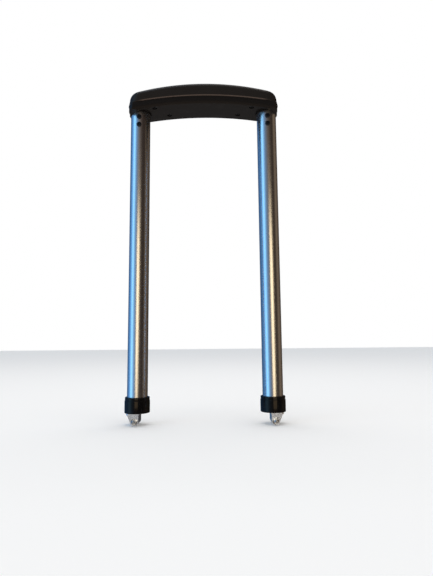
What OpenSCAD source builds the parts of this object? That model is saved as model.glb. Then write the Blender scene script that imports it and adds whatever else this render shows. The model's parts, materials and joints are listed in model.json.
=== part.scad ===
// Telescopic pull handle stage: two round tubes under a bowed two-shell grip, with a push
// button that draws in a spring lock pin at the foot of each tube.
// X runs from tube to tube, Y from front to back, Z up. The origin lies midway between the
// two slider collars, on the plane of their lower faces.

/* [Tubes] */
// Outside diameter of each tube
tube_d = 20; // [16:0.5:26]
// Wall of each tube
tube_wall = 1.2; // [0.8:0.1:1.6]
// Distance between the two tube axes
tube_spacing = 132; // [110:1:180]
// Height of the ferrules' lower edges over the collars' lower faces
reach = 303; // [180:1:500]

/* [Grip] */
// Depth of the grip from front to back
grip_depth = 36; // [35:0.5:50]
// Height of the top shell over the parting line, at the tube axes
crown_end_h = 12.4; // [12.4:0.1:20]
// Radius of the bow along the top of the grip
crown_r = 270; // [220:1:320]
// Radius of the bow along the parting line and the underside
arch_r = 390; // [300:5:500]
// Depth of the bottom shell under the parting line
belly = 7; // [7:0.5:12]
// Wall of both grip shells
shell_wall = 2.4; // [1.8:0.1:2.8]
// Rounding of the top shell's long edges
crown_edge_r = 6; // [4:0.5:9]
// Rounding of the bottom shell's long edges
belly_edge_r = 3; // [3:0.5:6]
// Rounding of the top shell where it turns down at each end
shoulder_r = 3.5; // [3:0.5:9]
// Corner radius of the grip seen from above
plan_r = 12; // [10:0.5:17]
// How far the top shell overhangs the bottom shell
ledge = 0.8; // [0.4:0.1:1.2]
// Wall of the ferrule round each tube
ferrule_wall = 1.3; // [1:0.1:2]
// Drop from the parting line to the ferrule's lower edge
ferrule_drop = 7.6; // [7.6:0.1:14]

/* [Release button] */
// Length of the button along the grip
button_l = 34; // [24:1:44]
// Width of the button
button_w = 16; // [12:0.5:20]
// How far the button stands over the grip
button_rise = 2; // [1:0.5:4]
// Travel of the button
stroke = 5; // [4:0.5:5]

/* [Lock] */
// Travel of each lock pin
pin_travel = 2.5; // [2:0.1:3]
// Diameter of the nose of each lock pin
nose_d = 4.4; // [3.6:0.1:4.8]
// Diameter of the shoulder of each lock pin
shoulder_d = 6.2; // [6:0.1:7]
// How far the nose stands out past the collar
nose_out = 2; // [1:0.1:2.1]
// Distance of the lock pin from the tube axis, away from the other tube
pin_offset = 1.4; // [1:0.1:2.4]
// Height of the lock pin's axis under the collar
pin_drop = 7.6; // [7.4:0.1:10]
// How far the lock housing stays inside the collar, at front and back
lug_inset = 4.1; // [4:0.1:4.8]
// Wall of the lock housing round the pin
lug_wall = 0.8; // [0.6:0.1:1.2]
// Diameter of each push rod
rod_d = 4; // [3:0.1:4.6]

/* [Slider collars] */
// Wall of each collar round its tube
collar_wall = 2.25; // [1.8:0.05:5]
// Height of each collar
collar_h = 15; // [13:0.5:24]

/* [Screws] */
// Thread diameter of the tube screws
tube_screw_d = 2.8; // [2.4:0.1:3.2]
// Head diameter of the tube screws
tube_screw_head_d = 5; // [4.4:0.1:5.6]
// Drop from the ferrule to the upper tube screw
tube_screw_drop = 5; // [4.6:0.1:9]
// Distance between the two tube screws
tube_screw_pitch = 8.3; // [7:0.1:12]
// Thread diameter of the shell screws
shell_screw_d = 2.4; // [2:0.1:2.6]
// Head diameter of the shell screws
shell_screw_head_d = 4.6; // [4:0.1:4.8]

/* [Hidden] */
$fn = 128;

// Clearances
snug = 0.05;
running = 0.1;
free = 0.3;
part_gap = 0.15;
eps = 0.01;

// Tubes
axis_x = tube_spacing / 2;
tube_r = tube_d / 2;
tube_bore_r = tube_r - tube_wall;
tube_foot_z = 1;

// Grip: both bows pass over the tube axes at set heights
part_z = reach + ferrule_drop;
arch_cz = part_z - sqrt(arch_r * arch_r - axis_x * axis_x);
crown_cz = part_z + crown_end_h - sqrt(crown_r * crown_r - axis_x * axis_x);
ferrule_r = tube_r + ferrule_wall;
grip_end = axis_x + ferrule_r + running;
sweep_depth = 28;
plan_overrun = 2;
floor_z = part_z - belly + shell_wall;
tube_top_z = floor_z + 1.6;
keep_in = 1.2;
inner_edge_r = 1.4;

// Blocks in the tops of the tubes
block_r = tube_bore_r - snug;
block_foot_z = reach - 23;
head_in = 9;
head_out = 3;
head_y = grip_depth / 2 - ledge - shell_wall - 1.3;
head_h = 1.8;
head_top_z = tube_top_z + head_h;
rib_w = 6;
rib_t = 2.4;
rib_y = head_y - 2.5;
rod_r = rod_d / 2;
spring_r = 3.4;
spring_wire = 0.9;
spring_pocket_r = spring_r + free;
spring_seat_z = reach - tube_screw_drop + tube_screw_d / 2 + 1.2;
screw_tip = spring_r + 1.6;
screw_head_out = 1.5;
guide_h = 12;
guide_vent_r = 1.7;

// Release yoke, button and push rods
yoke_z = head_top_z + stroke + free;
yoke_h = 3.5;
yoke_w = 5.4;
yoke_end_r = 5;
yoke_half = axis_x - yoke_end_r + 0.8;
yoke_pad_l = 24;
yoke_pad_h = 1.6;
yoke_lift = arch_r + arch_cz - part_z;
pad_top_z = yoke_z + yoke_lift + yoke_h + yoke_pad_h;
clip_h = 0.6;
clip_r = 3.2;
groove_r = rod_r - 0.4;
rod_top_z = yoke_z + yoke_h + clip_h + 0.6;
button_corner_r = button_w / 2 - 0.3;
button_wall = 2;
flange_rim = 1.5;
flange_h = 2.2;
ceiling_z = crown_cz + sqrt(pow(crown_r - shell_wall, 2) - pow(button_l / 2 + flange_rim, 2));
flange_top_z = ceiling_z - free;

// Shell screws: two at the front near the tubes, two behind nearer the middle
post_r = 2.8;
front_spot = [axis_x - 16.3, ledge + shell_wall + post_r + free - grip_depth / 2];
back_spot = [axis_x - 29.8, yoke_w / 2 + post_r + free];
screw_spots = [
    [-front_spot.x, front_spot.y], front_spot,
    [-back_spot.x, back_spot.y], back_spot
];
seat_half = 3.6;
recess_r = shell_screw_head_d / 2 + free;
recess_h = 2.6;
screw_head_h = 1.6;
seat_h = 4.8;
screw_bite = 7;

// Collars and lock housings
collar_r = tube_r + collar_wall;
collar_chamfer = 0.6;
collar_step = 0.35;
collar_band_h = 3.2;
collar_lip_h = 1.4;
collar_lip_r = tube_r + 0.5;
flange_t = 1.4;
pin_z = -pin_drop;
pin_r = shoulder_d / 2;
lug_r = pin_r + running / 2 + lug_wall;
lug_out = collar_r - 3.65;
lug_front = collar_r - lug_inset;
lug_back = collar_r - lug_inset;
spread_h = 1.6;
spigot_r = tube_bore_r - snug;
spigot_top_z = 16;
channel_z = 1.4;
boss_r = 3.2;
wedge_t = 2;
wedge_gap = 0.25;
wedge_front = -2;
wedge_tip_t = 1;
wedge_slope = pin_travel / stroke;
wedge_tip_z = pin_z + pin_r - 0.7;
wedge_ramp_h = stroke + 1.2;
wedge_back = wedge_front + wedge_tip_t + wedge_slope * wedge_ramp_h;
wedge_pin_r = 0.75;
boss_z = channel_z + stroke + 2 * free;
boss_h = 7;
wedge_pin_z = boss_z + boss_h / 2;
rod_foot_z = boss_z + 1;
bore_end = lug_back - 1.2;
nose_reach = collar_r + nose_out;
shoulder_front = 1 - lug_front;
shoulder_back = 1.5;
nose_bevel = 1.2;
nose_r = nose_d / 2;
rivet_r = 1.25;
rivet_z = 7;
rivet_in = 5.2;

function bow_z(r, cz, x) = cz + sqrt(r * r - x * x);
function belly_z(x) = bow_z(arch_r - belly, arch_cz, x);
function wedge_face(z) = wedge_front + wedge_tip_t + wedge_slope * (z - wedge_tip_z);

// Puts a piece on one tube's axis, with local +X pointing away from the other tube
module on_side(s) {
    translate([s * axis_x, 0, 0])
        mirror([s < 0 ? 1 : 0, 0, 0])
            children();
}

// Extrudes a (Y, Z) outline from x0 to x1
module along_x(x0, x1) {
    translate([x0, 0, 0])
        rotate([90, 0, 90])
            linear_extrude(x1 - x0)
                children();
}

// Extrudes an (X, Z) outline from y0 to y1
module along_y(y0, y1) {
    translate([0, y1, 0])
        rotate([90, 0, 0])
            linear_extrude(y1 - y0)
                children();
}

module rod_y(r, y0, y1) {
    translate([0, y0, 0])
        rotate([-90, 0, 0])
            cylinder(r = r, h = y1 - y0);
}

module ring(r_out, r_in, h) {
    difference() {
        cylinder(r = r_out, h = h);
        translate([0, 0, -eps]) cylinder(r = r_in, h = h + 2 * eps);
    }
}

module rounded_rect(w, d, r) {
    square([w - 2 * r, d], center = true);
    square([w, d - 2 * r], center = true);
    for (sx = [-1, 1], sy = [-1, 1])
        translate([sx * (w / 2 - r), sy * (d / 2 - r)]) circle(r = r);
}

// Sweeps a (radius, Y) section along a bow of the grip
module bow_sweep(cz) {
    angle = 50;
    translate([0, 0, cz])
        rotate([90, 0, 0])
            rotate([0, 0, 90 - angle / 2])
                rotate_extrude(angle = angle, $fn = 256)
                    children();
}

module crown_section(inset) {
    r = crown_r - inset;
    half = grip_depth / 2 - inset;
    edge = crown_edge_r - inset;
    translate([r - sweep_depth, -half]) square([sweep_depth - edge, 2 * half]);
    translate([r - sweep_depth, -half + edge]) square([sweep_depth, 2 * (half - edge)]);
    for (s = [-1, 1])
        translate([r - edge, s * (half - edge)]) circle(r = edge);
}

module belly_section(inset, top) {
    r = arch_r - belly + inset;
    half = grip_depth / 2 - ledge - inset;
    edge = max(belly_edge_r - inset, inner_edge_r);
    rise = arch_r + top - r;
    intersection() {
        union() {
            translate([r + edge, -half]) square([rise, 2 * half]);
            translate([r, -half + edge]) square([rise, 2 * (half - edge)]);
            for (s = [-1, 1])
                translate([r + edge, s * (half - edge)]) circle(r = edge);
        }
        translate([r, -half]) square([rise, 2 * half]);
    }
}

// Plan of the grip. Its corner arcs run past the long sides by plan_overrun, where they aren't needed.
module plan_prism(inset) {
    end = grip_end - inset;
    r = plan_r - inset;
    half = grip_depth / 2 - inset;
    cy = half + plan_overrun - r;
    translate([0, 0, reach - 20])
        linear_extrude(90) {
            square([2 * (end - r), 2 * (cy + r)], center = true);
            square([2 * end, 2 * cy], center = true);
            for (sx = [-1, 1], sy = [-1, 1])
                translate([sx * (end - r), sy * cy]) circle(r = r);
        }
}

// Front outline that turns the top shell down into its ends in short flats
module shoulder_prism(inset) {
    r = shoulder_r - inset;
    cx = grip_end - inset - r;
    cz = crown_cz + sqrt(pow(crown_r - inset - r, 2) - cx * cx);
    steps = 5;
    turn = [for (i = [0:steps]) 90 * i / steps];
    arc = [for (a = turn) [cx + r * cos(a), cz + r * sin(a)]];
    top = reach + 70;
    right = concat([[cx + r, reach - 20]], arc, [[cx - 1, cz + r + 2], [cx - 1, top]]);
    left = [for (i = [len(right) - 1:-1:0]) [-right[i].x, right[i].y]];
    along_y(-grip_depth, grip_depth) polygon(concat(right, left));
}

module crown_form(inset) {
    intersection() {
        bow_sweep(crown_cz) crown_section(inset);
        plan_prism(inset);
        shoulder_prism(inset);
    }
}

module button_outline(grow) {
    rounded_rect(button_l + 2 * grow, button_w + 2 * grow, button_corner_r + grow);
}

module grip_top_shell() {
    color("#1c1c1d")
        union() {
            difference() {
                crown_form(0);
                crown_form(shell_wall);
                translate([0, 0, arch_cz]) rod_y(arch_r, -grip_depth, grip_depth);
                translate([0, 0, part_z]) linear_extrude(60) button_outline(free);
            }
            shell_posts();
            block_ribs();
        }
}

// Posts that take the shell screws
module shell_posts() {
    for (p = screw_spots) {
        foot = belly_z(p.x) + seat_h + snug;
        top = bow_z(crown_r, crown_cz, abs(p.x) + post_r) - keep_in;
        translate([p.x, p.y, foot])
            difference() {
                cylinder(r = post_r, h = top - foot);
                translate([0, 0, -eps]) cylinder(r = shell_screw_d / 2 + snug, h = screw_bite);
            }
    }
}

// Ribs that hold the tube blocks down
module block_ribs() {
    foot = head_top_z + snug;
    top = bow_z(crown_r, crown_cz, axis_x + rib_w / 2) - keep_in;
    for (sx = [-1, 1], sy = [-1, 1])
        translate([sx * axis_x - rib_w / 2, sy * rib_y - rib_t / 2, foot])
            cube([rib_w, rib_t, top - foot]);
}

module grip_bottom_shell() {
    color("#1c1c1d")
        difference() {
            union() {
                intersection() {
                    bow_sweep(arch_cz) belly_section(0, -part_gap);
                    plan_prism(ledge);
                }
                for (s = [-1, 1]) on_side(s) {
                    translate([0, 0, reach]) cylinder(r = ferrule_r, h = floor_z - shell_wall / 2 - reach);
                }
            }
            difference() {
                intersection() {
                    bow_sweep(arch_cz) belly_section(shell_wall, 1);
                    plan_prism(ledge + shell_wall);
                }
                for (s = [-1, 1]) on_side(s) {
                    translate([-head_in, -grip_depth / 2, reach])
                        cube([head_in + grip_end, grip_depth, tube_top_z - reach]);
                }
                for (p = screw_spots)
                    translate([p.x - seat_half, p.y - seat_half, belly_z(p.x)])
                        cube([2 * seat_half, 2 * seat_half, seat_h]);
            }
            translate([-2 * axis_x, -grip_depth, reach - 30])
                cube([4 * axis_x, 2 * grip_depth, 30]);
            for (s = [-1, 1]) on_side(s)
                translate([0, 0, reach - 1]) cylinder(r = tube_r + snug, h = 20);
            for (p = screw_spots)
                translate([p.x, p.y, belly_z(p.x)]) {
                    translate([0, 0, -4]) cylinder(r = recess_r, h = 4 + recess_h);
                    cylinder(r = shell_screw_d / 2 + 0.2, h = 12);
                }
        }
}

module shell_screws() {
    color("#2a2a2b")
        for (p = screw_spots)
            translate([p.x, p.y, belly_z(p.x) + recess_h])
                difference() {
                    union() {
                        translate([0, 0, -screw_head_h])
                            cylinder(r = shell_screw_head_d / 2, h = screw_head_h - snug);
                        translate([0, 0, -2 * snug])
                            cylinder(r = shell_screw_d / 2, h = seat_h - recess_h + screw_bite);
                    }
                    translate([0, 0, -screw_head_h - eps]) cross_recess();
                }
}

// Cross recess of a screw head, cut upward from z = 0
module cross_recess() {
    for (a = [0, 90])
        rotate([0, 0, a])
            translate([-1.2, -0.3, 0]) cube([2.4, 0.6, 0.9]);
}

module tube() {
    color("#b9bcc2")
        difference() {
            translate([0, 0, tube_foot_z]) ring(tube_r, tube_bore_r, tube_top_z - tube_foot_z);
            tube_screw_spots() rod_y(tube_screw_d / 2 + 0.2, -tube_r - 1, 0);
            for (a = [0, 180])
                rotate([0, 0, a])
                    translate([0, 0, rivet_z]) rod_y(rivet_r + snug, -tube_r - 1, 0);
        }
}

module tube_screw_spots() {
    for (i = [0, 1])
        translate([0, 0, reach - tube_screw_drop - i * tube_screw_pitch])
            children();
}

module tube_screws() {
    color("#202021")
        tube_screw_spots()
            difference() {
                union() {
                    rod_y(tube_screw_head_d / 2, -tube_r - screw_head_out, -tube_r - snug);
                    rod_y(tube_screw_d / 2, -tube_r - screw_head_out / 2, -screw_tip);
                }
                translate([0, -tube_r - screw_head_out - eps, 0])
                    rotate([-90, 0, 0])
                        cross_recess();
            }
}

module tube_block() {
    color("#3a3a3c")
        difference() {
            union() {
                translate([0, 0, block_foot_z])
                    cylinder(r = block_r, h = tube_top_z - block_foot_z + snug);
                translate([-head_in, -head_y, tube_top_z + snug])
                    cube([head_in + head_out, 2 * head_y, head_h - snug]);
            }
            translate([0, 0, block_foot_z - 1]) cylinder(r = rod_r + running, h = 60);
            translate([0, 0, spring_seat_z]) cylinder(r = spring_pocket_r, h = 40);
            tube_screw_spots() rod_y(tube_screw_d / 2 + snug, -tube_r, -spring_r - 1);
        }
}

// Bush that steadies the push rod halfway up the tube
module rod_guide() {
    color("#e6e4dc")
        translate([0, 0, reach / 2])
            difference() {
                ring(block_r, rod_r + running, guide_h);
                for (a = [0:60:300])
                    rotate([0, 0, a])
                        translate([(block_r + rod_r) / 2 + 0.2, 0, -eps])
                            cylinder(r = guide_vent_r, h = guide_h + 2 * eps);
            }
}

module collar() {
    color("#141415")
        difference() {
            union() {
                cylinder(r1 = collar_r - collar_chamfer, r2 = collar_r, h = collar_chamfer);
                translate([0, 0, collar_chamfer])
                    cylinder(r = collar_r, h = collar_h - collar_band_h - collar_chamfer);
                translate([0, 0, collar_h - collar_band_h])
                    cylinder(r1 = collar_r, r2 = collar_r - collar_step, h = collar_step);
                translate([0, 0, collar_h - collar_band_h])
                    cylinder(r = collar_r - collar_step, h = collar_band_h - collar_lip_h);
                translate([0, 0, collar_h - collar_lip_h])
                    cylinder(r1 = collar_r - collar_step, r2 = collar_lip_r, h = collar_lip_h);
            }
            translate([0, 0, -1]) cylinder(r = tube_r + snug, h = collar_h + 2);
        }
}

// Outline of the lock housing under the collar: round below, spread outward above
module lug_outline() {
    translate([pin_offset, pin_z]) circle(r = lug_r);
    polygon([
        [pin_offset - lug_r, pin_z], [pin_offset - lug_r, -flange_t + eps],
        [lug_out, -flange_t + eps], [lug_out - 1, -flange_t - spread_h],
        [pin_offset + lug_r * cos(20), pin_z - lug_r * sin(20)]
    ]);
}

module lock_housing() {
    color("#c9c9c4")
        difference() {
            union() {
                along_y(-lug_front, lug_back) lug_outline();
                intersection() {
                    translate([pin_offset - lug_r - 0.6, -lug_front - 0.8, -flange_t])
                        cube([lug_out - pin_offset + lug_r + 1.2, lug_front + lug_back + 1.6, flange_t]);
                    translate([0, 0, -flange_t]) cylinder(r = collar_r - 0.5, h = flange_t);
                }
                translate([0, 0, -eps]) cylinder(r = spigot_r, h = spigot_top_z + eps);
            }
            translate([0, 0, channel_z]) cylinder(r = boss_r + 0.4, h = spigot_top_z);
            translate([pin_offset - wedge_t / 2 - wedge_gap, wedge_front - free, pin_z])
                cube([wedge_t + 2 * wedge_gap, wedge_back - wedge_front + 2 * free, 40]);
            translate([pin_offset, 0, pin_z])
                rod_y(pin_r + running / 2, -lug_front - 2, bore_end);
            for (a = [0, 180])
                rotate([0, 0, a])
                    translate([0, 0, rivet_z]) rod_y(rivet_r + snug, -tube_r, -rivet_in);
        }
}

module housing_rivets() {
    color("#8f9196")
        for (a = [0, 180])
            rotate([0, 0, a])
                translate([0, 0, rivet_z]) rod_y(rivet_r, -tube_r + snug, -rivet_in - running);
}

module lock_pin() {
    slot_front = wedge_front - pin_travel - free;
    top = pin_z + pin_r + 1;
    foot = pin_z - pin_r - 1;
    color("#d4d4d2")
        translate([pin_offset, 0, 0])
            difference() {
                translate([0, 0, pin_z]) {
                    rod_y(pin_r, shoulder_front, shoulder_back);
                    rod_y(nose_r, -nose_reach + nose_bevel, shoulder_front + 1);
                    translate([0, -nose_reach, 0])
                        rotate([-90, 0, 0])
                            cylinder(r1 = nose_r - 0.8, r2 = nose_r, h = nose_bevel);
                }
                along_x(-wedge_t / 2 - wedge_gap, wedge_t / 2 + wedge_gap)
                    polygon([
                        [slot_front, foot], [slot_front, top],
                        [wedge_face(top) + wedge_gap, top], [wedge_face(foot) + wedge_gap, foot]
                    ]);
            }
}

module lock_spring() {
    color("#9a9da3")
        translate([pin_offset, shoulder_back + snug, pin_z])
            rotate([-90, 0, 0])
                ring(pin_r - 0.4, pin_r - 1.2, bore_end - shoulder_back - 2 * snug);
}

module wedge() {
    color("#b0b2b6")
        difference() {
            union() {
                translate([0, 0, boss_z]) cylinder(r = boss_r, h = boss_h);
                along_x(pin_offset - wedge_t / 2, pin_offset + wedge_t / 2)
                    polygon([
                        [wedge_front, wedge_tip_z],
                        [wedge_front + wedge_tip_t, wedge_tip_z],
                        [wedge_back, wedge_tip_z + wedge_ramp_h],
                        [wedge_back, boss_z + boss_h],
                        [wedge_front, boss_z + boss_h]
                    ]);
            }
            translate([0, 0, rod_foot_z]) cylinder(r = rod_r + snug, h = 30);
            translate([0, 0, wedge_pin_z]) rod_y(wedge_pin_r + snug, -boss_r - 1, boss_r + 1);
        }
}

module wedge_pin() {
    color("#8f9196")
        translate([0, 0, wedge_pin_z]) rod_y(wedge_pin_r, -boss_r + 0.2, boss_r - 0.2);
}

module push_rod() {
    color("#a8abb0")
        difference() {
            translate([0, 0, rod_foot_z + snug]) cylinder(r = rod_r, h = rod_top_z - rod_foot_z);
            translate([0, 0, wedge_pin_z]) rod_y(wedge_pin_r + snug, -boss_r - 1, boss_r + 1);
            for (z = clip_heights())
                translate([0, 0, z - snug]) ring(rod_r + 1, groove_r, clip_h + 2 * snug);
        }
}

function clip_heights() = [yoke_z - clip_h - snug, yoke_z + yoke_h + snug];

// Snap rings above and below the yoke
module rod_clips() {
    color("#6d6f74")
        for (z = clip_heights())
            translate([0, 0, z])
                difference() {
                    ring(clip_r, groove_r + snug, clip_h);
                    translate([0, -groove_r + 0.3, -eps])
                        cube([clip_r + 1, 2 * groove_r - 0.6, clip_h + 2 * eps]);
                }
}

module return_spring() {
    foot = spring_seat_z + snug;
    color("#9a9da3")
        translate([0, 0, foot])
            ring(spring_r, spring_r - spring_wire, yoke_z - clip_h - 2 * snug - foot);
}

// Bar that carries both push rods, bowed like the grip, with a pad under the button
module release_yoke() {
    r = arch_r + yoke_z - part_z;
    color("#2b2b2e")
        difference() {
            union() {
                intersection() {
                    bow_sweep(arch_cz)
                        translate([r, -yoke_w / 2]) square([yoke_h, yoke_w]);
                    translate([-yoke_half, -yoke_w, reach]) cube([2 * yoke_half, 2 * yoke_w, 60]);
                }
                for (s = [-1, 1]) on_side(s)
                    translate([0, 0, yoke_z]) cylinder(r = yoke_end_r, h = yoke_h);
                translate([-yoke_pad_l / 2, -yoke_w / 2, pad_top_z - yoke_pad_h - 1])
                    cube([yoke_pad_l, yoke_w, yoke_pad_h + 1]);
            }
            for (s = [-1, 1]) on_side(s)
                translate([0, 0, yoke_z - 1]) cylinder(r = rod_r + snug, h = yoke_h + 4);
        }
}

module release_button() {
    color("#303032")
        difference() {
            intersection() {
                union() {
                    translate([0, 0, pad_top_z + snug]) linear_extrude(40) button_outline(0);
                    translate([0, 0, flange_top_z - flange_h])
                        linear_extrude(flange_h) button_outline(flange_rim);
                }
                translate([0, 0, crown_cz]) rod_y(crown_r + button_rise, -grip_depth, grip_depth);
            }
            for (s = [-1, 1])
                translate([s * (button_l / 4 - 0.2), 0, pad_top_z - 1])
                    linear_extrude(flange_top_z - pad_top_z + 2.4)
                        rounded_rect(button_l / 2 - 3, button_w - 2 * button_wall, 3);
        }
}

on_side(-1) tube();  // left_tube
on_side(1) tube();  // right_tube
grip_top_shell();
grip_bottom_shell();
shell_screws();
on_side(-1) tube_block();  // left_tube_block
on_side(1) tube_block();  // right_tube_block
on_side(-1) tube_screws();  // left_tube_screws
on_side(1) tube_screws();  // right_tube_screws
on_side(-1) rod_guide();  // left_rod_guide
on_side(1) rod_guide();  // right_rod_guide
on_side(-1) collar();  // left_collar
on_side(1) collar();  // right_collar
on_side(-1) lock_housing();  // left_lock_housing
on_side(1) lock_housing();  // right_lock_housing
on_side(-1) housing_rivets();  // left_housing_rivets
on_side(1) housing_rivets();  // right_housing_rivets
release_button();
release_yoke();
on_side(-1) push_rod();  // left_push_rod
on_side(1) push_rod();  // right_push_rod
on_side(-1) rod_clips();  // left_rod_clips
on_side(1) rod_clips();  // right_rod_clips
on_side(-1) return_spring();  // left_return_spring
on_side(1) return_spring();  // right_return_spring
on_side(-1) wedge();  // left_wedge
on_side(1) wedge();  // right_wedge
on_side(-1) wedge_pin();  // left_wedge_pin
on_side(1) wedge_pin();  // right_wedge_pin
on_side(-1) lock_pin();  // left_lock_pin
on_side(1) lock_pin();  // right_lock_pin
on_side(-1) lock_spring();  // left_lock_spring
on_side(1) lock_spring();  // right_lock_spring
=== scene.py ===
"""Looks of a telescopic pull handle stage: two polished tubes, a bowed two-shell grip, slider collars and
lock pins.

Lengths are in metres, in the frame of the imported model: +X from the left tube to the right one, -Y to the
screw side, +Z up the tubes. Inside the finishes they are in millimetres.
"""
import json
import math

import bpy
from mathutils import Matrix, Vector

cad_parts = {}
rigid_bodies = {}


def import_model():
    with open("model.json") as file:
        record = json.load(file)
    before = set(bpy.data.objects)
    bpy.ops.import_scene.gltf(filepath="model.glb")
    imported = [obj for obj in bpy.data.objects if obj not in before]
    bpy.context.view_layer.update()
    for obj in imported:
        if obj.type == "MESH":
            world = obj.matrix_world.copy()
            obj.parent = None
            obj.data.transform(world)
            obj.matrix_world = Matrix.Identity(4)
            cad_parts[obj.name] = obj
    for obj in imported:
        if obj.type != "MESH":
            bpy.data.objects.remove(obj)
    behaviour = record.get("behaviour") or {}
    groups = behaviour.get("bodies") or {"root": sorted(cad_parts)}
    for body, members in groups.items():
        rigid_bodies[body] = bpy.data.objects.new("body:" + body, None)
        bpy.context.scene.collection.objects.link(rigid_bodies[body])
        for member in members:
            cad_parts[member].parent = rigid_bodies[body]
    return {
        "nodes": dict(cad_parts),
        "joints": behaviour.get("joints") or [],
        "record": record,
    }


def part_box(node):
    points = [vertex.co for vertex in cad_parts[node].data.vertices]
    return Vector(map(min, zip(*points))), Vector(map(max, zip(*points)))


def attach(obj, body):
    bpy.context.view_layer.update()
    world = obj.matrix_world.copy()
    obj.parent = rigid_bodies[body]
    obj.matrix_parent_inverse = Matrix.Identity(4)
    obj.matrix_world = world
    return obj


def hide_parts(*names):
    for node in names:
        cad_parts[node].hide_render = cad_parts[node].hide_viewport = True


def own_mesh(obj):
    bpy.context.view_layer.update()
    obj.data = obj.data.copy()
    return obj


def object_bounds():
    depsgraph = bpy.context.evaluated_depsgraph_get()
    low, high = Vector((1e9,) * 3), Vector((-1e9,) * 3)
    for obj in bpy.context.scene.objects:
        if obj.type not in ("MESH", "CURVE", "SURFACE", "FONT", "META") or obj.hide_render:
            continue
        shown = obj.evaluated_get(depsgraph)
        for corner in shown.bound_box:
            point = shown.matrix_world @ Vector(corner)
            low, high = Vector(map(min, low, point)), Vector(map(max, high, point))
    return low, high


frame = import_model()
cad_low, cad_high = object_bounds()

MM = 0.001
SIDES = ("left", "right")

# --------------------------------------------------------------------------------------------------
# Sizes taken from the frame


def box(node):
    low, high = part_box(node)
    return Vector(low), Vector(high)


def axis_x(side):
    """The tube axis of one side."""
    low, high = box(side + "_tube")
    return (low.x + high.x) / 2


tube_low, tube_high = box("right_tube")
tube_r = (tube_high.x - tube_low.x) / 2
collar_low, collar_high = box("right_collar")
collar_r = (collar_high.x - collar_low.x) / 2
collar_h = collar_high.z
shell_high = box("grip_top_shell")[1]
belly_high = box("grip_bottom_shell")[1]
button_low, button_high = box("release_button")

# The button seen from above: half its length, half its width and its corners
BUTTON_PLAN = (17 * MM, 8 * MM, 7.7 * MM)
BUTTON_GAP = 0.3 * MM

# Points of an outline seen from above: on a long side, on an end and on a corner
RING_STEPS = (56, 10, 14)

# The grip's own curves: bow radii of its crown and parting line, wall, edge and corner radii, and at its
# ends the lean of the wall and the share of the edge radius that the rounding reaches in
CROWN_BOW = 270 * MM
SEAM_BOW = 390 * MM
BUTTON_RISE = 2 * MM
SEAM_GAP = 0.15 * MM
SHELL_WALL = 2.4 * MM
CROWN_EDGE = 6 * MM
CORNER = 12 * MM
RIM_ROUND = 0.8 * MM
END_LEAN = 1.1 * MM
END_EDGE_SHARE = 0.5
crown_top = button_high.z - BUTTON_RISE
seam_top = belly_high.z + SEAM_GAP


def crown_z(x, inset=0.0):
    """Height of the bowed top of the grip at x, or of the curve that runs inset below it."""
    r = CROWN_BOW - inset
    return crown_top - CROWN_BOW + math.sqrt(r * r - x * x)


def seam_z(x):
    """Height of the parting line between the two shells at x."""
    return seam_top - SEAM_BOW + math.sqrt(SEAM_BOW * SEAM_BOW - x * x)


# --------------------------------------------------------------------------------------------------
# Shader values


class Field:
    """A socket of one material. Arithmetic on it adds Math nodes to its tree."""

    def __init__(self, tree, socket=None):
        self.tree = tree
        self.socket = socket

    def node(self, kind, settings=(), sockets=(), out=0):
        """Adds a node, sets it up, fills its sockets with values or links, and gives one output."""
        made = self.tree.nodes.new(kind)
        for name, value in dict(settings).items():
            if name == "stops":
                self._set_stops(made.color_ramp, value)
            else:
                setattr(made, name, value)
        for name, value in dict(sockets).items():
            if isinstance(value, Field):
                self.tree.links.new(value.socket, made.inputs[name])
            else:
                made.inputs[name].default_value = value
        return Field(self.tree, made.outputs[out])

    @staticmethod
    def _set_stops(ramp, stops):
        while len(ramp.elements) < len(stops):
            ramp.elements.new(1.0)
        for element, (place, colour) in zip(ramp.elements, stops):
            element.position = place
            element.color = colour

    def math(self, operation, first, second=0.0):
        return self.node("ShaderNodeMath", {"operation": operation}, {0: first, 1: second})

    def __add__(self, other):
        return self.math("ADD", self, other)

    __radd__ = __add__

    def __sub__(self, other):
        return self.math("SUBTRACT", self, other)

    def __rsub__(self, other):
        return self.math("SUBTRACT", other, self)

    def __mul__(self, other):
        return self.math("MULTIPLY", self, other)

    __rmul__ = __mul__

    def __truediv__(self, other):
        return self.math("DIVIDE", self, other)

    def ramp(self, low, high):
        """0 where the value is at low, 1 where it is at high, and smooth between."""
        settings = {"interpolation_type": "SMOOTHSTEP"}
        return self.node("ShaderNodeMapRange", settings, {"Value": self, "From Min": low, "From Max": high})


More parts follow.
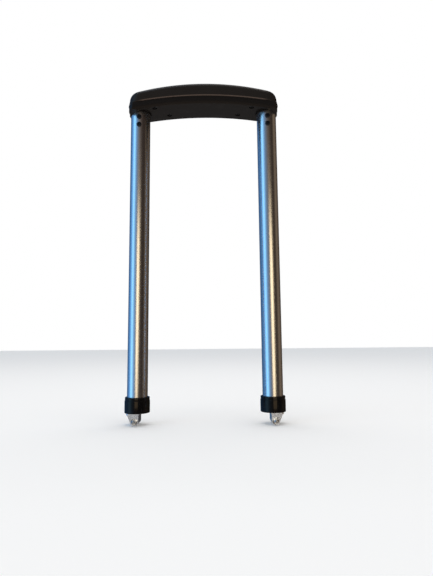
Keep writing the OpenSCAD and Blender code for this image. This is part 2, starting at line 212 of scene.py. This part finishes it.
class Finish:
    """A material being made: its shader, and the fields that vary over a surface. Constants are the shader's
    inputs by name, such as coat_roughness for Coat Roughness."""

    def __init__(self, name, colour, **constants):
        self.material = bpy.data.materials.new(name)
        self.material.use_nodes = True
        self.tree = self.material.node_tree
        self.shader = self.tree.nodes["Principled BSDF"]
        self.root = Field(self.tree)
        self.normal = None
        self.base = (*colour, 1.0)
        self.shader.inputs["Base Color"].default_value = self.base
        for name, value in constants.items():
            socket = name.replace("_", " ").title().replace("Ior", "IOR")
            self.shader.inputs[socket].default_value = value

    def feed(self, socket, field):
        self.tree.links.new(field.socket, self.shader.inputs[socket])

    def place(self, stretch=(1, 1, 1)):
        """Position in millimetres, stretched along the axes."""
        spot = self.root.node("ShaderNodeTexCoord", out="Object")
        scale = [s / MM for s in stretch]
        return self.root.node("ShaderNodeVectorMath", {"operation": "MULTIPLY"}, {0: spot, 1: scale})

    def noise(self, size, detail=3.0, roughness=0.5, stretch=(1, 1, 1)):
        """Noise from 0 to 1 whose blobs are about size millimetres across."""
        sockets = {"Vector": self.place(stretch), "Scale": 1 / size, "Detail": detail, "Roughness": roughness}
        return self.root.node("ShaderNodeTexNoise", (), sockets)

    def cells(self, size, feature="F1"):
        """Distance to the nearest of scattered points about size millimetres apart."""
        sockets = {"Vector": self.place(), "Scale": 1 / size}
        return self.root.node("ShaderNodeTexVoronoi", {"feature": feature}, sockets)

    def along(self, axis):
        """Position in millimetres along one axis, 0 for x, 1 for y and 2 for z."""
        return self.root.node("ShaderNodeSeparateXYZ", (), {0: self.place()}, out=axis)

    def tint(self, mask, colour):
        """Turns the base colour towards another where the mask is 1."""
        sockets = {"Factor": mask, 6: self.base, 7: (*colour, 1.0)}
        self.base = self.root.node("ShaderNodeMix", {"data_type": "RGBA"}, sockets, out=2)
        self.feed("Base Color", self.base)

    def bump(self, field, depth):
        """Raises the surface by depth millimetres where the field is 1."""
        sockets = {"Height": field, "Distance": depth * MM, "Strength": 1.0}
        if self.normal:
            sockets["Normal"] = self.normal
        self.normal = self.root.node("ShaderNodeBump", (), sockets)
        self.feed("Normal", self.normal)


# --------------------------------------------------------------------------------------------------
# Finishes


def polished_tube():
    """Drawn aluminium, bright dipped: die lines along the tube, slide marks low down."""
    f = Finish("bright_drawn_aluminium", (0.78, 0.79, 0.82), metallic=1.0)
    die_lines = f.noise(0.5, 4.0, 0.6, (1, 1, 0.004))
    broad_lines = f.noise(2.2, 2.0, 0.5, (1, 1, 0.01))
    haze = f.noise(9, 3.0, 0.55)
    marks = f.noise(0.32, 2.0, 0.5, (1, 1, 0.02)).ramp(0.66, 0.72) * f.noise(14, 2.0).ramp(0.5, 0.62)
    slid = 1 - f.along(2).ramp(15, 120)
    f.feed("Roughness", 0.2 + die_lines * 0.07 + haze * 0.06 + marks * slid * 0.2)
    f.tint(broad_lines.ramp(0.4, 0.7) * 0.5, (0.7, 0.71, 0.75))
    f.tint(haze.ramp(0.55, 0.8) * 0.35, (0.66, 0.66, 0.68))
    f.bump(die_lines, 0.002)
    f.bump(marks * slid, 0.003)
    return f.material


def moulded(name, colour, rough, grain=0.55, depth=0.02, dust=(0.1, 0.095, 0.09)):
    """Matt plastic from a spark-eroded mould: fine grain, faint flow shading, a little dust."""
    f = Finish(name, colour, specular_ior_level=0.14, specular_tint=(1.0, 0.74, 0.56, 1.0))
    pits = f.cells(grain, "SMOOTH_F1")
    fine = f.noise(grain * 0.45, 3.0, 0.6)
    flow = f.noise(26, 3.0, 0.5)
    specks = f.noise(1.3, 4.0, 0.65).ramp(0.66, 0.74) * flow.ramp(0.45, 0.7)
    rub = f.noise(11, 4.0, 0.6, (0.35, 1, 1)).ramp(0.52, 0.7)
    f.feed("Roughness", rough + flow * 0.08 - rub * 0.09 + specks * 0.1)
    f.tint(flow * 0.3, tuple(c * 1.7 for c in colour))
    f.tint(specks * 0.28, dust)
    f.bump(pits, depth)
    f.bump(fine, depth * 0.5)
    return f


def grip_skin():
    """The grip's plastic, with a painted highlight: a lighter band along the lip of the crown, between the
    tubes.
    """
    f = moulded("grained_black_grip", (0.0085, 0.0072, 0.0066), 0.4)
    x = f.along(0)
    bow = SEAM_BOW / MM
    lip_top = RIM_ROUND / MM
    tube_x = axis_x("right") / MM
    fade = 6
    seam = f.root.math("SQRT", bow * bow - x * x) + (seam_top / MM - bow)
    lift = f.along(2) - seam
    # Mask of the painted highlight: a thin band just above the parting line.
    lip = lift.ramp(lip_top + 0.3, lip_top - 0.2) * lift.ramp(-0.1, 0.05)
    between_tubes = f.root.math("ABSOLUTE", x).ramp(tube_x, tube_x - fade)
    # Paints the highlight line lighter brown along the lip.
    f.tint(lip * between_tubes * 0.9, (0.05, 0.036, 0.03))
    return f.material


def glossy_collar():
    """Hard glossy plastic, scuffed along the slide."""
    f = Finish("glossy_slide_plastic", (0.003, 0.003, 0.0033), specular_ior_level=0.16, coat_roughness=0.06)
    f.shader.inputs["Specular Tint"].default_value = (1.0, 0.82, 0.68, 1.0)
    ripple = f.noise(5, 2.0)
    scuff = f.noise(0.4, 3.0, 0.6, (1, 1, 0.03)).ramp(0.6, 0.7) * f.noise(6, 2.0).ramp(0.42, 0.62)
    dust = f.noise(0.35, 2.0).ramp(0.7, 0.76)
    f.feed("Roughness", 0.16 + scuff * 0.3 + dust * 0.25)
    f.feed("Coat Weight", 0.14 - scuff * 0.1)
    f.tint(scuff * 0.35, (0.05, 0.05, 0.052))
    f.tint(dust * 0.2, (0.12, 0.115, 0.11))
    f.bump(ripple, 0.012)
    f.bump(scuff, -0.006)
    return f.material


def pale_bush():
    """Natural acetal, slightly waxy."""
    f = Finish("natural_acetal", (0.75, 0.72, 0.63), specular_ior_level=0.5)
    cloud = f.noise(6, 3.0)
    rings = f.noise(0.5, 2.0, 0.5, (0.1, 0.1, 1))
    f.feed("Roughness", 0.38 + cloud * 0.15)
    f.tint(cloud.ramp(0.5, 0.8) * 0.4, (0.66, 0.62, 0.52))
    f.bump(rings, 0.015)
    return f.material


def black_oxide():
    """Blackened steel, oily, with the black worn on proud places."""
    f = Finish("black_oxide_steel", (0.03, 0.03, 0.033), metallic=0.75)
    grain = f.noise(0.22, 3.0)
    worn = f.noise(0.9, 4.0, 0.65).ramp(0.62, 0.75)
    f.feed("Roughness", 0.3 + grain * 0.16 - worn * 0.08)
    f.tint(worn * 0.5, (0.16, 0.15, 0.145))
    f.bump(grain, 0.006)
    return f.material


def zinc_casting():
    """Bright die-cast zinc: orange-peel skin, grey in the hollows, and a painted dark ring of shade round the
    lock pin.
    """
    f = Finish("bright_die_cast_zinc", (0.86, 0.86, 0.85), metallic=1.0)
    peel = f.noise(0.8, 3.0, 0.55)
    pores = f.cells(2.0).ramp(0.12, 0.04)
    stain = f.noise(3.4, 4.0, 0.6).ramp(0.5, 0.7)
    f.feed("Roughness", 0.2 + peel * 0.14 + stain * 0.16)
    f.tint(stain * 0.45, (0.52, 0.51, 0.49))
    f.tint(pores * 0.5, (0.2, 0.19, 0.18))
    pin_low, pin_high = box("right_lock_pin")
    pin = (pin_low + pin_high) / 2 / MM
    across = f.root.math("ABSOLUTE", f.along(0)) - pin.x
    up = f.along(2) - pin.z
    # Painted shade: a dark ring round the lock pin's bore.
    pin_shade_r, blur = 2.8, 0.5
    painted_pin_shade = f.root.math("SQRT", across * across + up * up).ramp(pin_shade_r + blur, pin_shade_r)
    f.tint(painted_pin_shade * 0.85, (0.07, 0.06, 0.055))
    f.bump(peel, 0.014)
    f.bump(pores, -0.03)
    return f.material


def bright_steel():
    """Ground pin with nickel plate: fine rings round the pin, a worn nose."""
    f = Finish("nickel_plated_pin_steel", (0.74, 0.72, 0.67), metallic=1.0)
    rings = f.noise(0.16, 2.0, 0.5, (0.08, 1, 0.08))
    wear = f.noise(1.2, 4.0, 0.6).ramp(0.5, 0.7)
    f.feed("Roughness", 0.17 + rings * 0.12 + wear * 0.12)
    f.tint(wear * 0.35, (0.6, 0.56, 0.49))
    f.bump(rings, 0.006)
    return f.material


def plated_steel():
    """Zinc-plated rod and rivets, with drawing lines and a milky cast."""
    f = Finish("zinc_plated_steel", (0.6, 0.61, 0.63), metallic=1.0)
    lines = f.noise(0.3, 3.0, 0.5, (1, 1, 0.02))
    milk = f.noise(2.6, 4.0, 0.6).ramp(0.45, 0.75)
    f.feed("Roughness", 0.22 + lines * 0.14 + milk * 0.12)
    f.tint(milk * 0.4, (0.7, 0.7, 0.71))
    f.bump(lines, 0.006)
    return f.material


def spring_wire():
    """Hard-drawn spring wire with oil-darkened patches."""
    f = Finish("oiled_spring_wire", (0.42, 0.43, 0.45), metallic=1.0)
    oil = f.noise(0.8, 3.0, 0.6).ramp(0.45, 0.7)
    fine = f.noise(0.1, 2.0)
    f.feed("Roughness", 0.26 + oil * 0.12 + fine * 0.06)
    f.tint(oil * 0.6, (0.22, 0.2, 0.18))
    f.bump(fine, 0.004)
    return f.material


FINISHES = {
    "polished_tube": polished_tube(),
    "grip_plastic": grip_skin(),
    "button_plastic": moulded("grained_black_button", (0.011, 0.011, 0.0115), 0.36, 0.4, 0.012).material,
    "collar_plastic": glossy_collar(),
    "inner_plastic": moulded("plain_black_moulding", (0.028, 0.028, 0.03), 0.48, 1.1, 0.008).material,
    "pale_plastic": pale_bush(),
    "black_screw": black_oxide(),
    "zinc_casting": zinc_casting(),
    "bright_steel": bright_steel(),
    "steel_pin": plated_steel(),
    "spring_steel": spring_wire(),
}
slots = {part["node"]: part["material_slot"] for part in frame["record"]["subparts"]}
for node, thing in frame["nodes"].items():
    thing.data.materials.clear()
    thing.data.materials.append(FINISHES[slots[node]])

# --------------------------------------------------------------------------------------------------
# Pieces built here in place of plain CAD nodes


def piece(name, points, faces, nodes, body, smooth=35):
    """A finished piece that stands for CAD nodes of one body and takes their finish. Edges that turn by more
    than smooth degrees stay sharp."""
    mesh = bpy.data.meshes.new(name)
    mesh.from_pydata([tuple(p) for p in points], [], faces)
    mesh.validate()
    made = bpy.data.objects.new(name, mesh)
    bpy.context.scene.collection.objects.link(made)
    mesh.materials.append(FINISHES[slots[nodes[0]]])
    mesh.shade_smooth()
    mesh.set_sharp_from_angle(angle=math.radians(smooth))
    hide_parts(*nodes)
    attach(made, body)
    return made


def ring_faces(rings, count, closed):
    """Quads between neighbouring rings of count points each, the last ring joined to the first if closed."""
    faces = []
    for i in range(rings if closed else rings - 1):
        here, there = i * count, (i + 1) % rings * count
        for j in range(count):
            k = (j + 1) % count
            faces.append((here + j, here + k, there + k, there + j))
    return faces


def arc(centre, r, start, stop, steps):
    """Points on an arc in a profile plane, from one angle in degrees to another."""
    turns = [math.radians(start + (stop - start) * i / steps) for i in range(steps + 1)]
    return [(centre[0] + r * math.cos(t), centre[1] + r * math.sin(t)) for t in turns]


def lathe(profile, centre, turns=96):
    """Points and faces of a closed (radius, height) profile turned round a vertical axis."""
    points = []
    for r, z in profile:
        for i in range(turns):
            a = 2 * math.pi * i / turns
            points.append(centre + Vector((r * math.cos(a), r * math.sin(a), z)))
    return points, ring_faces(len(profile), turns, True)


def collar(side):
    """Slider collar with a rolled foot, a proud slide band, a shadow groove and a softly rounded lip."""
    foot, shoulder, lip = 0.6 * MM, 0.4 * MM, 0.8 * MM
    lead_in, mouth = 0.3 * MM, 0.4 * MM
    neck_h, band_step = 3.2 * MM, 0.25 * MM
    fit_gap = 0.05 * MM
    groove = 0.15 * MM
    band_top = collar_h - neck_h
    neck = collar_r - band_step
    bore = tube_r + fit_gap
    profile = [(bore, lead_in), (bore + lead_in, 0)]
    profile += arc((collar_r - foot, foot), foot, -90, 0, 8)
    profile += arc((collar_r - shoulder, band_top - shoulder), shoulder, 0, 80, 6)
    profile += [(neck - groove, band_top), (neck - groove, band_top + groove)]
    profile += arc((neck - lip, collar_h - lip), lip, 0, 90, 10)
    profile += [(bore + mouth, collar_h), (bore, collar_h - mouth)]
    points, faces = lathe(profile[::-1], Vector((axis_x(side), 0, 0)))
    return piece(side + "_slider_collar", points, faces, [side + "_collar"], "frame", 50)


def coil(name, node, body, foot, axis, r, wire, length, turns):
    """A compression spring as a tube along a helix of radius r, with 0.9 of a turn lying flat at each end."""
    steps, sides, closed = 28, 10, 0.9
    frame_turn = axis.to_track_quat("Z", "Y").to_matrix()
    total = int(turns * steps)
    reach = length - wire
    path = []
    for i in range(total + 1):
        t = i / total
        rise = min(max((t * turns - closed) / (turns - 2 * closed), 0), 1)
        a = 2 * math.pi * t * turns
        path.append(Vector((r * math.cos(a), r * math.sin(a), wire / 2 + rise * reach)))
    points = []
    for i, spot in enumerate(path):
        along = (path[min(i + 1, total)] - path[max(i - 1, 0)]).normalized()
        out = Vector((spot.x, spot.y, 0)).normalized()
        up = along.cross(out).normalized()
        for j in range(sides):
            a = 2 * math.pi * j / sides
            ring_point = spot + (out * math.cos(a) + up * math.sin(a)) * wire / 2
            points.append(foot + frame_turn @ ring_point)
    faces = ring_faces(total + 1, sides, False)
    faces.append(tuple(range(sides))[::-1])
    faces.append(tuple(range(total * sides, (total + 1) * sides)))
    return piece(name, points, faces, [node], body, 60)


joints = {joint["name"]: joint for joint in frame["joints"]}


def travel(joint):
    start, stop = joints[joint]["range_m"]
    return stop - start


def springs(side):
    """The return spring over the push rod and the lock spring behind the pin."""
    wire, turns = 0.8 * MM, 7.5
    low, high = box(side + "_return_spring")
    foot = Vector((axis_x(side), 0, low.z))
    length = high.z - low.z
    made = coil(side + "_return_coil", side + "_return_spring", "frame", foot, Vector((0, 0, 1)),
                (high.x - low.x) / 2 - wire / 2, wire, length, turns)
    1 - travel("button_press") / length
    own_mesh(made)

    wire, turns = 0.55 * MM, 5.5
    low, high = box(side + "_lock_spring")
    middle = (low + high) / 2
    back = Vector((middle.x, high.y, middle.z))
    length = high.y - low.y
    made = coil(side + "_lock_coil", side + "_lock_spring", "frame", back, Vector((0, -1, 0)),
                (high.x - low.x) / 2 - wire / 2, wire, length, turns)
    joint = side + "_pin_slide"
    1 - travel(joint) / length
    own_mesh(made)


def rounded_outline(half_x, half_y, corner, along, across, bend):
    """A rounded rectangle as a ring of points, the same count for every size: along steps on a straight long
    side, across steps on a straight end and bend steps round a corner."""
    cx, cy = half_x - corner, half_y - corner
    quarters = [(1, -1, -90), (1, 1, 0), (-1, 1, 90), (-1, -1, 180)]
    ring = []
    for i, (sx, sy, start) in enumerate(quarters):
        for k in range(bend + 1):
            a = math.radians(start + 90 * k / bend)
            ring.append((sx * cx + corner * math.cos(a), sy * cy + corner * math.sin(a)))
        steps = across if i % 2 == 0 else along
        nx, ny, turn = quarters[(i + 1) % 4]
        a = math.radians(turn)
        here = ring[-1]
        there = (nx * cx + corner * math.cos(a), ny * cy + corner * math.sin(a))
        for k in range(1, steps):
            share = k / steps
            ring.append((here[0] + (there[0] - here[0]) * share, here[1] + (there[1] - here[1]) * share))
    return ring


def top_shell():
    """The upper grip shell: a bowed, softly cornered cap with the button's opening through its top."""
    top_steps, edge_steps, inner_edge_steps, lip_steps = 8, 10, 6, 5
    half_x, half_y = shell_high.x, shell_high.y
    hole = rounded_outline(*(size + BUTTON_GAP for size in BUTTON_PLAN), *RING_STEPS)
    count = len(hole)

    def outline(inset, end_inset=None):
        """The shell from above, drawn in by inset along its sides and by end_inset at its ends."""
        ends = inset if end_inset is None else end_inset
        return rounded_outline(half_x - ends, half_y - inset, CORNER - inset, *RING_STEPS)

    def across_top(rim, depth, outward):
        """Rings over the crown between the button's opening and the rim, outward or back."""
        rings = []
        for i in range(top_steps + 1):
            s = i / top_steps if outward else 1 - i / top_steps
            ring = []
            for (hx, hy), (ox, oy) in zip(hole, rim):
                x, y = hx + (ox - hx) * s, hy + (oy - hy) * s
                ring.append(Vector((x, y, crown_z(x, depth))))
            rings.append(ring)
        return rings

    def rounding(depth, steps):
        """Rings from the flat top over the long edge, on the outer face (depth 0) or the inner one."""
        r = CROWN_EDGE - depth
        rings = []
        for i in range(1, steps + 1):
            a = math.radians(90 * i / steps)
            inset = depth + r * (1 - math.sin(a))
            fall = r * (1 - math.cos(a))
            ends = inset if depth else inset * END_EDGE_SHARE + END_LEAN
            rings.append([Vector((x, y, crown_z(x, depth) - fall)) for x, y in outline(inset, ends)])
        return rings

    def wall(inset, depth, share, lift=0.0):
        """A ring on the side wall, share of the way from its top down to lift over the seam."""
        top_fall = CROWN_EDGE - depth
        ends = inset if depth else inset + END_LEAN * (1 - share)
        ring = []
        for x, y in outline(inset, ends):
            high = crown_z(x, depth) - top_fall
            ring.append(Vector((x, y, high + (seam_z(x) + lift - high) * share)))
        return ring

    rings = across_top(outline(CROWN_EDGE, CROWN_EDGE * END_EDGE_SHARE + END_LEAN), 0, True)
    rings += rounding(0, edge_steps)
    rings += [wall(0, 0, share, RIM_ROUND) for share in (0.35, 0.7)]
    for turn, lift in arc((0, 0), RIM_ROUND, 0, 90, lip_steps):
        rings.append(wall(RIM_ROUND - turn, 0, 1.0, RIM_ROUND - lift))
    rings.append(wall(SHELL_WALL, SHELL_WALL, 1.0))
    rings.append(wall(SHELL_WALL, SHELL_WALL, 0.5))
    rings += rounding(SHELL_WALL, inner_edge_steps)[::-1]
    rings += across_top(outline(CROWN_EDGE), SHELL_WALL, False)
    points = [p for ring in rings for p in ring]
    faces = [face[::-1] for face in ring_faces(len(rings), count, True)]
    return piece("grip_crown", points, faces, ["grip_top_shell"], "frame", 40)


def screw_head(spot, out, r, rise, slot_r, slot_w, depth):
    """Points and faces of a domed screw head with a cross recess, standing on spot along out."""
    rings, turns = 14, 64
    rim_share, dome_power = 0.45, 2.6
    turn = out.to_track_quat("Z", "Y").to_matrix()

    def height(x, y):
        """How far the head stands out at x, y: a dome over a straight rim, less the recess."""
        flat = math.hypot(x, y) / r
        dome = rise * (rim_share + (1 - rim_share) * math.sqrt(max(1 - flat ** dome_power, 0)))
        arm = min(abs(x), abs(y))
        inside = max(abs(x), abs(y)) < slot_r and arm < slot_w
        return dome - depth if inside else dome

    points = [spot + turn @ Vector((0, 0, height(0, 0)))]
    for i in range(1, rings + 1):
        for j in range(turns):
            a = 2 * math.pi * (j + 0.5) / turns
            x, y = r * i / rings * math.cos(a), r * i / rings * math.sin(a)
            points.append(spot + turn @ Vector((x, y, height(x, y))))
    for j in range(turns):
        a = 2 * math.pi * (j + 0.5) / turns
        points.append(spot + turn @ Vector((r * math.cos(a), r * math.sin(a), 0)))
    faces = [(0, 1 + j, 1 + (j + 1) % turns) for j in range(turns)]
    for i in range(rings):
        here, there = 1 + i * turns, 1 + (i + 1) * turns
        for j in range(turns):
            k = (j + 1) % turns
            faces.append((here + j, there + j, there + k, here + k))
    last = 1 + rings * turns
    faces.append(tuple(last + j for j in range(turns))[::-1])
    return points, faces


def turned(profile, foot, axis, turns=40):
    """Points and faces of a (radius, height) outline turned round an axis and closed by flat ends."""
    lay = axis.to_track_quat("Z", "Y").to_matrix()
    points = []
    for r, z in profile:
        for i in range(turns):
            a = 2 * math.pi * i / turns
            points.append(foot + lay @ Vector((r * math.cos(a), r * math.sin(a), z)))
    faces = ring_faces(len(profile), turns, False)
    faces.append(tuple(range(turns))[::-1])
    faces.append(tuple(range((len(profile) - 1) * turns, len(profile) * turns)))
    return points, faces


def tube_screws(side):
    """The two screws in the front of one tube: domed heads on plain shanks."""
    node = side + "_tube_screws"
    low, high = box(node)
    head_r = (high.x - low.x) / 2
    rise = -tube_r - low.y
    slot_r, slot_w, slot_depth = 1.15 * MM, 0.3 * MM, 0.7 * MM
    shank_r, tip, sink = 1.4 * MM, 0.3 * MM, 0.1 * MM
    shank_end = high.y + tube_r
    points, faces = [], []

    def add(more):
        start = len(points)
        points.extend(more[0])
        faces.extend(tuple(start + i for i in face) for face in more[1])

    for z in (low.z + head_r, high.z - head_r):
        seat = Vector((axis_x(side), -tube_r, z))
        add(screw_head(seat, Vector((0, -1, 0)), head_r, rise, slot_r, slot_w, slot_depth))
        shank = [(shank_r, 0), (shank_r, shank_end - tip), (shank_r - tip, shank_end)]
        add(turned(shank, seat - Vector((0, sink, 0)), Vector((0, 1, 0))))
    return piece(side + "_domed_screws", points, faces, [node], "frame", 30)


def button():
    """The release button: a softly edged pad, hollowed for the thumb, on a flange inside the grip."""
    flange, flange_h, edge, hollow = 1.5 * MM, 2.2 * MM, 1.4 * MM, 0.7 * MM
    edge_skirt = 0.5 * MM
    edge_steps, pad_steps = 7, 12
    half_x, half_y, corner = BUTTON_PLAN
    flange_top = button_low.z + flange_h

    def outline(inset):
        return rounded_outline(half_x - inset, half_y - inset, corner - inset, *RING_STEPS)

    def top(x):
        return crown_z(x) + BUTTON_RISE

    rings = [[Vector((x, y, button_low.z)) for x, y in outline(-flange)]]
    rings.append([Vector((x, y, flange_top)) for x, y in outline(-flange)])
    rings.append([Vector((x, y, flange_top)) for x, y in outline(0)])
    rings.append([Vector((x, y, top(x) - edge - edge_skirt)) for x, y in outline(0)])
    for turn, rise in arc((0, 0), edge, 0, 90, edge_steps):
        rings.append([Vector((x, y, top(x) - edge + rise)) for x, y in outline(edge - turn)])
    for step in range(1, pad_steps):
        share = 1 - step / pad_steps
        dip = hollow * (1 - share * share) ** 2
        rings.append([Vector((x * share, y * share, top(x * share) - dip)) for x, y in outline(edge)])
    count = len(rings[0])
    points = [p for ring in rings for p in ring]
    faces = ring_faces(len(rings), count, False)
    points.append(Vector((0, 0, top(0) - hollow)))
    last = (len(rings) - 1) * count
    faces += [(last + j, last + (j + 1) % count, len(points) - 1) for j in range(count)]
    faces.append(tuple(range(count))[::-1])
    return piece("thumb_button", points, faces, ["release_button"], "release", 40)


for side in SIDES:
    collar(side)
    springs(side)
    tube_screws(side)
top_shell()
button()

# --------------------------------------------------------------------------------------------------
# Studio: floor, light and camera


def stage_floor():
    """A plain pale floor under the feet of the handle."""
    half = 4.0
    z = cad_low.z
    mesh = bpy.data.meshes.new("studio_floor")
    corners = [(-half, -half, z), (half, -half, z), (half, half, z), (-half, half, z)]
    mesh.from_pydata(corners, [], [(0, 1, 2, 3)])
    floor = bpy.data.objects.new("studio_floor", mesh)
    bpy.context.scene.collection.objects.link(floor)
    f = Finish("pale_studio_floor", (0.96, 0.96, 0.96), roughness=0.9)
    f.bump(f.noise(3, 3.0), 0.02)
    mesh.materials.append(f.material)
    floor.visible_glossy = False


def softbox(name, place, target, size, radiance, colour, only=None):
    """A rectangular area light turned towards a point. With only, it lights just the pieces whose names
    start so."""
    data = bpy.data.lights.new(name, "AREA")
    data.shape = "RECTANGLE"
    data.size, data.size_y = size
    data.energy = radiance * math.pi * size[0] * size[1]
    data.color = colour
    lamp = bpy.data.objects.new(name, data)
    bpy.context.scene.collection.objects.link(lamp)
    lamp.location = place
    lamp.rotation_euler = (Vector(target) - Vector(place)).to_track_quat("-Z", "Y").to_euler()
    if only:
        lit = bpy.data.collections.new(name + "_lights")
        for thing in bpy.data.objects:
            if thing.type == "MESH" and thing.name.startswith(only):
                lit.objects.link(thing)
        lamp.light_linking.receiver_collection = lit


def surroundings():
    """White behind the handle, while the metal mirrors a dim room over a pale floor: a cool window on the
    left and brown on the right, set as stops once round from straight behind the handle."""
    world = bpy.data.worlds.new("studio_room")
    world.use_nodes = True
    bpy.context.scene.world = world
    tree = world.node_tree
    root = Field(tree)
    direction = root.node("ShaderNodeTexCoord", out="Generated")
    x, y, z = (root.node("ShaderNodeSeparateXYZ", (), {0: direction}, out=axis) for axis in range(3))
    turn = root.math("ARCTAN2", x, y * -1.0) / (2 * math.pi) + 0.5
    stops = [
        (0.0, (0.05, 0.11, 0.2, 1)), (0.17, (0.06, 0.15, 0.32, 1)), (0.26, (0.16, 0.42, 0.85, 1)),
        (0.325, (0.55, 1.25, 1.9, 1)), (0.39, (0.16, 0.32, 0.56, 1)), (0.45, (0.15, 0.17, 0.2, 1)),
        (0.51, (0.09, 0.07, 0.065, 1)), (0.57, (0.035, 0.024, 0.02, 1)), (0.68, (0.03, 0.02, 0.015, 1)),
        (0.74, (0.2, 0.15, 0.1, 1)), (0.8, (0.14, 0.1, 0.07, 1)), (0.9, (0.04, 0.03, 0.02, 1)),
        (1.0, (0.05, 0.06, 0.08, 1)),
    ]
    room = root.node("ShaderNodeValToRGB", {"stops": stops}, {"Fac": turn})
    below = {"Factor": z.ramp(-0.25, -0.6), 6: room, 7: (0.6, 0.57, 0.53, 1.0)}
    colour = root.node("ShaderNodeMix", {"data_type": "RGBA"}, below, out=2)
    for ray, white in (("Is Diffuse Ray", 0.8), ("Is Camera Ray", 1.0)):
        which = root.node("ShaderNodeLightPath", out=ray)
        blend = {"Factor": which, 6: colour, 7: (white, white, white, 1.0)}
        colour = root.node("ShaderNodeMix", {"data_type": "RGBA"}, blend, out=2)
    tree.links.new(colour.socket, tree.nodes["Background"].inputs["Color"])


def camera():
    """Eye level with the lower tubes, close, tipped up a little."""
    data = bpy.data.cameras.new("studio_camera")
    data.sensor_width = 36
    data.lens = 27.42
    eye = bpy.data.objects.new("studio_camera", data)
    bpy.context.scene.collection.objects.link(eye)
    eye.location = Vector((11.8, -437.0, 68.2)) * MM
    tip = Vector((-0.12, -0.009, 0.0))  # the tilt's axis, as long as its angle in radians
    turn = Matrix.Rotation(tip.length, 3, tip.normalized()).transposed()
    right, ahead, up = (turn @ Vector(v) for v in ((1, 0, 0), (0, 1, 0), (0, 0, 1)))
    eye.rotation_mode = "QUATERNION"
    eye.rotation_quaternion = Matrix((right, up, -ahead)).transposed().to_quaternion()
    data.clip_start, data.clip_end = 0.01, 20
    bpy.context.scene.camera = eye


stage_floor()
surroundings()
middle = (cad_low + cad_high) / 2
LEFT_GLOSS, RIGHT_GLOSS = ("left_tube", "left_slider"), ("right_tube", "right_slider")
LOCKS = ("left_lock", "right_lock")
WARM, NEUTRAL = (1.0, 0.8, 0.5), (1.0, 0.98, 0.95)
left_target, right_target = (axis_x("left"), 0, 0.13), (axis_x("right"), 0, 0.12)
softbox("top_softbox", (0.0, 0.1, 1.4), middle, (1.0, 1.0), 1.6, NEUTRAL)
softbox("left_warm_lamp", (-0.066, -0.8, 0.15), left_target, (0.4, 0.52), 1.8, WARM, LEFT_GLOSS)
softbox("right_warm_lamp", (0.25, -0.8, 0.13), right_target, (0.46, 0.56), 1.8, WARM, RIGHT_GLOSS)
softbox("rim_lamp", (0.0, -0.6, 0.03), (0, 0, crown_top), (0.3, 0.1), 26.0, NEUTRAL, "grip_crown")
softbox("foot_lamp", (0.05, -0.6, 0.04), (0, 0, 0), (0.6, 0.09), 4.0, NEUTRAL, LOCKS)
camera()
bpy.context.scene.view_settings.view_transform = "Standard"
